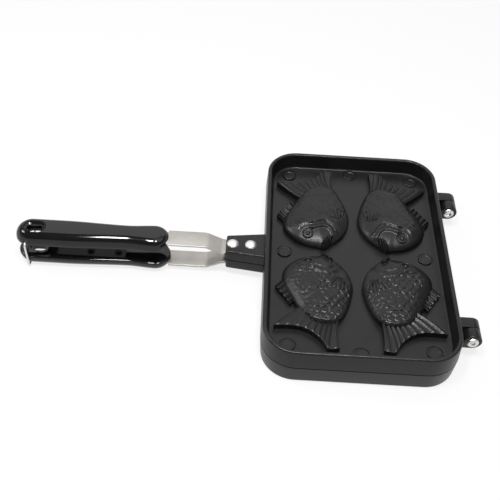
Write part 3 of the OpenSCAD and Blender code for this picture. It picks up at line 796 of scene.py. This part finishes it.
def edge_rings(outline, inset, rise, z, up, steps):
    """Rings round an edge of that size, ending at height z if up, or starting there."""
    turns = [math.radians(90 * i / steps) for i in range(steps + 1)]
    if up:
        return [offset_ring(outline, inset * (1 - math.cos(a)), z - rise * (1 - math.sin(a)))
                for a in turns]
    return [offset_ring(outline, inset * (1 - math.cos(a)), z + rise * (1 - math.sin(a)))
            for a in turns[::-1]]


def slot_outline(length, width, steps=14):
    """A slot's plan about the hanging hole's middle."""
    r = width / 2
    reach = (length - width) / 2
    right = [Vector((hang_x + reach + r * math.cos(a), r * math.sin(a)))
             for a in [math.radians(-90 + 180 * i / steps) for i in range(steps + 1)]]
    left = [Vector((hang_x - reach - r * math.cos(a), -r * math.sin(a)))
            for a in [math.radians(-90 + 180 * i / steps) for i in range(steps + 1)]]
    return right + left


def hang_cutter():
    """The hanging hole with its dished outer edge and a rounded inner one."""
    hole = slot_outline(hang_length, hang_width)
    steps = [(-1.2, handle_inner - 1), (-1.2, handle_inner), (-0.35, handle_inner + 0.35),
             (0, handle_inner + 1.2),
             (0, handle_outer - 2.4), (-0.5, handle_outer - 2.0), (-1.5, handle_outer - 1.5),
             (-2.3, handle_outer - 0.8), (-2.7, handle_outer + 0.3), (-2.9, handle_outer + 2)]
    return loft([offset_ring(hole, inset, z) for inset, z in steps])


def recess_cutter():
    """The long recess in the inner face, where the screws go in."""
    bm, top = rounded_plate(recess_length, recess_width, recess_corner, segments=6)
    raised(bm, top, [(0.3, 3.0)] + quarter(0.5, 3))
    bmesh.ops.holes_fill(bm, edges=[e for e in bm.edges if e.is_boundary], sides=0)
    bmesh.ops.recalc_face_normals(bm, faces=bm.faces)
    bmesh.ops.translate(bm, verts=bm.verts, vec=(recess_x, 0, handle_inner - 1))
    return bm


def box_cutter(low, high):
    """A plain block between two corners, for cutting."""
    bm = bmesh.new()
    bmesh.ops.create_cube(bm, size=1)
    for vert in bm.verts:
        vert.co = [low[k] if vert.co[k] < 0 else high[k] for k in range(3)]
    return bm


def pivot_cutters():
    """Each pivot's upright groove, rounded at its back, and its hole."""
    parts = []
    for s in (-1, 1):
        groove = bmesh.new()
        bmesh.ops.create_cone(groove, cap_ends=True, segments=24, radius1=groove_radius,
                              radius2=groove_radius, depth=16)
        bmesh.ops.scale(groove, vec=(1, 0.8, 1), verts=groove.verts)
        bmesh.ops.translate(groove, verts=groove.verts, vec=(bail_x, s * (handle_half + 0.1), 12.3))
        hole = cross_bore(pivot_radius, 8, 24, (bail_x, s * handle_half, pivot_z))
        parts += [("DIFFERENCE", groove), ("DIFFERENCE", hole)]
    return parts


def sweep_cutter():
    """What the bail's bar sweeps through under the lower handle's free end."""
    block = box_cutter((handle_end - 2, -20, 5), (bail_x + 1.3, 20, 22))
    drum = cross_bore(sweep_radius, 60, 160, (bail_x, 0, -pivot_z))
    return combined(block, ("DIFFERENCE", drum))


for half in ("upper", "lower"):
    plan = handle_outline()
    blank = loft(edge_rings(plan, inner_round, inner_round, handle_inner, up=False, steps=5)
                 + edge_rings(plan, outer_round, outer_crown, handle_outer, up=True, steps=14))
    cuts = [("DIFFERENCE", hang_cutter()), ("DIFFERENCE", recess_cutter())]
    cuts += pivot_cutters() if half == "upper" else [("DIFFERENCE", sweep_cutter())]
    grip = finished(combined(blank, *cuts), half + "_grip", half, half + "_half", phenolic)
    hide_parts(half + "_handle")

# Rivets, screws and hinge pins
# Two nickel-plated rivets with low domes hold each strap in its socket, and two black screws with
# cross slots hold it in its handle. The hinge pins are nickel-plated rivets with a hollow near head.
rivet_radius = 5
rivet_rise = 2.4
rivet_shank = 2.5
screw_radius = 3.4
screw_rise = 1.9
screw_shank = 1.9
slot_reach = 1.7
slot_half = 0.35
pin_radius = 2.4
pin_tail_radius = 4.0
pin_tail_rise = 1.4

# Nickel plate on steel, tumbled bright: light, slightly warm metal, dulled by fine scuffs
bright, tree, place = new_material("bright_nickel_plated_steel")
scuffs = add(tree, "ShaderNodeTexNoise", {"Scale": 1 / (1.5 * MM), "Detail": 3.0},
             {"Vector": (place, "Object")})
rough = add(tree, "ShaderNodeMapRange", {"To Min": 0.3, "To Max": 0.5}, {"Value": (scuffs, "Fac")})
ramp = add(tree, "ShaderNodeValToRGB", {}, {"Fac": (scuffs, "Fac")})
ramp.color_ramp.elements[0].color = linear("#d2d0cd")
ramp.color_ramp.elements[1].color = linear("#e8e7e5")
bump = add(tree, "ShaderNodeBump", {"Strength": 0.3, "Distance": 0.02 * MM}, {"Height": (scuffs, "Fac")})
shader = add(tree, "ShaderNodeBsdfPrincipled", {"Metallic": 1.0},
             {"Base Color": (ramp, "Color"), "Roughness": (rough, "Result"), "Normal": (bump, "Normal")})
add(tree, "ShaderNodeOutputMaterial", {}, {"Surface": (shader, "BSDF")})

# Black oxide on steel: a thin dark skin with a little of the metal's sheen, mottled where worn
black, tree, place = new_material("black_oxide_screw_steel")
worn = add(tree, "ShaderNodeTexNoise", {"Scale": 1 / (1.2 * MM), "Detail": 2.0},
           {"Vector": (place, "Object")})
ramp = add(tree, "ShaderNodeValToRGB", {}, {"Fac": (worn, "Fac")})
ramp.color_ramp.elements[0].color = linear("#232224")
ramp.color_ramp.elements[1].color = linear("#3a393b")
rough = add(tree, "ShaderNodeMapRange", {"To Min": 0.3, "To Max": 0.5}, {"Value": (worn, "Fac")})
shader = add(tree, "ShaderNodeBsdfPrincipled", {"Metallic": 1.0},
             {"Base Color": (ramp, "Color"), "Roughness": (rough, "Result")})
add(tree, "ShaderNodeOutputMaterial", {}, {"Surface": (shader, "BSDF")})


def dome_profile(radius, height, base, steps=9):
    """Points from the top of a domed head at base down to its edge."""
    ball = (radius ** 2 + height ** 2) / (2 * height)
    wide = math.asin(min(1, radius / ball))
    turns = [wide * i / steps for i in range(steps + 1)]
    return [(ball * math.sin(a), base + height - ball + ball * math.cos(a)) for a in turns]


def rivet(x):
    """A domed rivet that stands on the socket and runs down to the parting face."""
    head = dome_profile(rivet_radius, rivet_rise, socket_height)
    under = socket_height - 0.2
    shank = [(rivet_radius - 0.2, under), (rivet_shank, under), (rivet_shank, 0.05), (0, 0.05)]
    bm = spun(head + shank, 48)
    bmesh.ops.translate(bm, verts=bm.verts, vec=(x, 0, 0))
    return bm


def screw(x):
    """A pan-head screw with a cross slot, head down in the recess."""
    seat = handle_inner + 2.5
    head = [(r, seat - z) for r, z in dome_profile(screw_radius, screw_rise, 0)]
    bm = spun(head + [(screw_shank, seat), (screw_shank, 15), (0, 15)], 40)
    slot_floor = seat - 1.0
    along = box_cutter((-slot_reach, -slot_half, 0), (slot_reach, slot_half, slot_floor))
    across = box_cutter((-slot_half, -slot_reach, 0), (slot_half, slot_reach, slot_floor))
    bm = combined(bm, ("DIFFERENCE", along), ("DIFFERENCE", across))
    bmesh.ops.translate(bm, verts=bm.verts, vec=(x, 0, 0))
    return bm


def hinge_pin(y):
    """A semi-tubular rivet across both ears, its hollow head on the near side."""
    stack = 2 * ear_thick + ear_gap
    hollow = [(0, -0.3), (1.4, -0.35), (1.75, -0.9)]
    roll = [(2.3, -1.5), (3.2, -1.78), (4.0, -1.5), (4.6, -0.8), (4.8, 0)]
    shank = [(pin_radius, 0), (pin_radius, stack)]
    tail = dome_profile(pin_tail_radius, pin_tail_rise, stack)[::-1]
    bm = spun(hollow + roll + shank + tail, 48)
    bmesh.ops.rotate(bm, verts=bm.verts, matrix=Matrix.Rotation(math.radians(-90), 3, "X"))
    bmesh.ops.translate(bm, verts=bm.verts, vec=(pin_x, y - stack / 2, 0))
    return bm


for half in ("upper", "lower"):
    for make, x, name, node in ((rivet, -105.8, "_rivet_head_outer", "_rivet_outer"),
                                (rivet, -90.3, "_rivet_head_inner", "_rivet_inner"),
                                (screw, -206.0, "_panhead_front", "_screw_front"),
                                (screw, -230.0, "_panhead_rear", "_screw_rear")):
        slot, metal = ("black_steel", black) if make is screw else ("bright_steel", bright)
        piece = finished(make(x), half + name, half, half + "_half", metal)
        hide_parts(half + node)
for y, name in ((-hinge_y, "near"), (hinge_y, "far")):
    piece = finished(hinge_pin(y), "hinge_rivet_" + name, "upper", "lower_half", bright)
    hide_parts("hinge_pin_" + name)

# Wire bail
# One piece of bright spring wire, bent square: its two ends turn inwards into the upper handle, and
# its cross bar passes under the lower one.
wire_radius = 0.9
leg_y = 14.8
stub_y = 9.9
bar_z = -16.7


def bail():
    """A round wire swept along half the path and back in mirror image."""
    bend = 2.5
    half_path = [Vector((stub_y, pivot_z)), Vector((leg_y - bend, pivot_z))]
    half_path += [Vector((leg_y - bend + bend * math.sin(a), pivot_z - bend + bend * math.cos(a)))
                  for a in [math.radians(15 * i) for i in range(1, 7)]]
    half_path += [Vector((leg_y - bend + bend * math.cos(a), bar_z + bend - bend * math.sin(a)))
                  for a in [math.radians(15 * i) for i in range(7)]]
    path = half_path + [Vector((-p.x, p.y)) for p in reversed(half_path)]
    rings = []
    for i, p in enumerate(path):
        d = (path[min(len(path) - 1, i + 1)] - path[max(0, i - 1)]).normalized()
        rings.append([Vector((bail_x + wire_radius * math.cos(a), p.x - d.y * wire_radius * math.sin(a),
                              p.y + d.x * wire_radius * math.sin(a)))
                      for a in [math.tau * k / 16 for k in range(16)]])
    return loft(rings)


wire = finished(bail(), "bail_wire", "upper", "bail", bright, angle=50)
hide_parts("latch_wire")

# Floor, light and camera
# A white paper sweep and five soft lights: a wide panel behind, a panel overhead, a small box above
# the handles' end, another above the pan, and a lamp at the left.

# Matte paper. Camera and mirror rays see it mostly as plain white, and far away wholly, so that no
# horizon shows. The rest of it is grey paper that keeps the pan's shadow.
white, tree, place = new_material("matte_white_paper_sweep")
ray = add(tree, "ShaderNodeLightPath")
seen = add(tree, "ShaderNodeMath", {}, {0: (ray, "Is Camera Ray"), 1: (ray, "Is Glossy Ray")},
           operation="ADD")
seen = add(tree, "ShaderNodeMath", {}, {0: (seen, "Value"), 1: (ray, "Is Transmission Ray")},
           operation="ADD", use_clamp=True)
away = add(tree, "ShaderNodeVectorMath", {}, {0: (place, "Object")}, operation="LENGTH")
away = add(tree, "ShaderNodeMapRange", {"From Min": 0.6, "From Max": 2.0, "To Min": 0.8, "To Max": 1.0},
           {"Value": (away, "Value")})
share = add(tree, "ShaderNodeMath", {}, {0: (seen, "Value"), 1: (away, "Result")},
            operation="MULTIPLY")
paper = add(tree, "ShaderNodeBsdfDiffuse", {"Color": (0.58, 0.58, 0.58, 1.0)})
glow = add(tree, "ShaderNodeEmission", {"Strength": 1.0})
mixed = add(tree, "ShaderNodeMixShader", {},
            {0: (share, "Value"), 1: (paper, "BSDF"), 2: (glow, "Emission")})
add(tree, "ShaderNodeOutputMaterial", {}, {"Surface": (mixed, "Shader")})
sheet = bmesh.new()
bmesh.ops.create_grid(sheet, x_segments=1, y_segments=1, size=6)
mesh = bpy.data.meshes.new("paper_floor")
sheet.to_mesh(mesh)
sheet.free()
mesh.materials.append(white)
floor = bpy.data.objects.new("paper_floor", mesh)
bpy.context.scene.collection.objects.link(floor)
floor.location.z = -0.0005


def lamp(name, place, target, width, height, power):
    """A rectangular soft light at place, turned to target."""
    data = bpy.data.lights.new(name, "AREA")
    data.shape = "RECTANGLE"
    data.size = width
    data.size_y = height
    data.energy = power
    light = bpy.data.objects.new(name, data)
    light.location = place
    light.rotation_euler = (Vector(target) - Vector(place)).to_track_quat("-Z", "Y").to_euler()
    bpy.context.scene.collection.objects.link(light)


lamp("back_panel", (0, 1.6, 1.5), (0, 0, 0), width=3.2, height=1.3, power=17)
lamp("overhead_panel", (0.55, -0.05, 1.3), (0.55, -0.05, 0), width=1.5, height=1.2, power=7)
lamp("key_softbox", (-0.255, -0.22, 1.2), (-0.255, 0, 0), width=0.11, height=0.34, power=10)
lamp("top_softbox", (0.12, -0.3, 1.15), (0.12, 0, 0), width=0.14, height=0.3, power=9)
lamp("left_lamp", (-1.1, 0.3, 1.1), (-0.1, 0, 0), width=0.4, height=0.4, power=7)

# The sweep goes on as a white wall to 12 degrees above the horizon. Above 25 degrees the studio is
# dark, so that the glossy handles and the coating stay black, and other rays get little light.
world = bpy.data.worlds.new("white_studio")
world.use_nodes = True
tree = world.node_tree
tree.nodes.clear()
ray = add(tree, "ShaderNodeLightPath")
seen = add(tree, "ShaderNodeMath", {}, {0: (ray, "Is Camera Ray"), 1: (ray, "Is Glossy Ray")},
           operation="ADD")
seen = add(tree, "ShaderNodeMath", {}, {0: (seen, "Value"), 1: (ray, "Is Transmission Ray")},
           operation="ADD", use_clamp=True)
toward = add(tree, "ShaderNodeTexCoord")
toward = add(tree, "ShaderNodeSeparateXYZ", {}, {"Vector": (toward, "Object")})
sweep = add(tree, "ShaderNodeMapRange",
            {"From Min": 0.2, "From Max": 0.42, "To Min": 1.0, "To Max": 0.12},
            {"Value": (toward, "Z")})
strength = add(tree, "ShaderNodeMapRange", {"To Min": 0.12},
               {"Value": (seen, "Value"), "To Max": (sweep, "Result")})
back = add(tree, "ShaderNodeBackground", {"Color": (1, 1, 1, 1)}, {"Strength": (strength, "Result")})
add(tree, "ShaderNodeOutputWorld", {}, {"Surface": (back, "Background")})
bpy.context.scene.world = world

# The camera's lens, place, tilt and roll, about the pan's middle. They were solved from where the
# pan's rim, floor and parting seam lie in the photograph.
camera_data = bpy.data.cameras.new("camera")
camera_data.sensor_width = 36
camera_data.lens = 56.09
camera = bpy.data.objects.new("camera", camera_data)
camera_place = Vector((-90.8, -460.1, 514.8 - half_height)) * MM
camera_tilt = math.radians(43)
camera_roll = math.radians(3.29)
turn = Matrix.Rotation(camera_tilt, 4, "X") @ Matrix.Rotation(camera_roll, 4, "Z")
camera.matrix_world = Matrix.Translation(pan_middle + camera_place) @ turn
bpy.context.scene.collection.objects.link(camera)
bpy.context.scene.camera = camera
bpy.context.scene.view_settings.view_transform = "Standard"
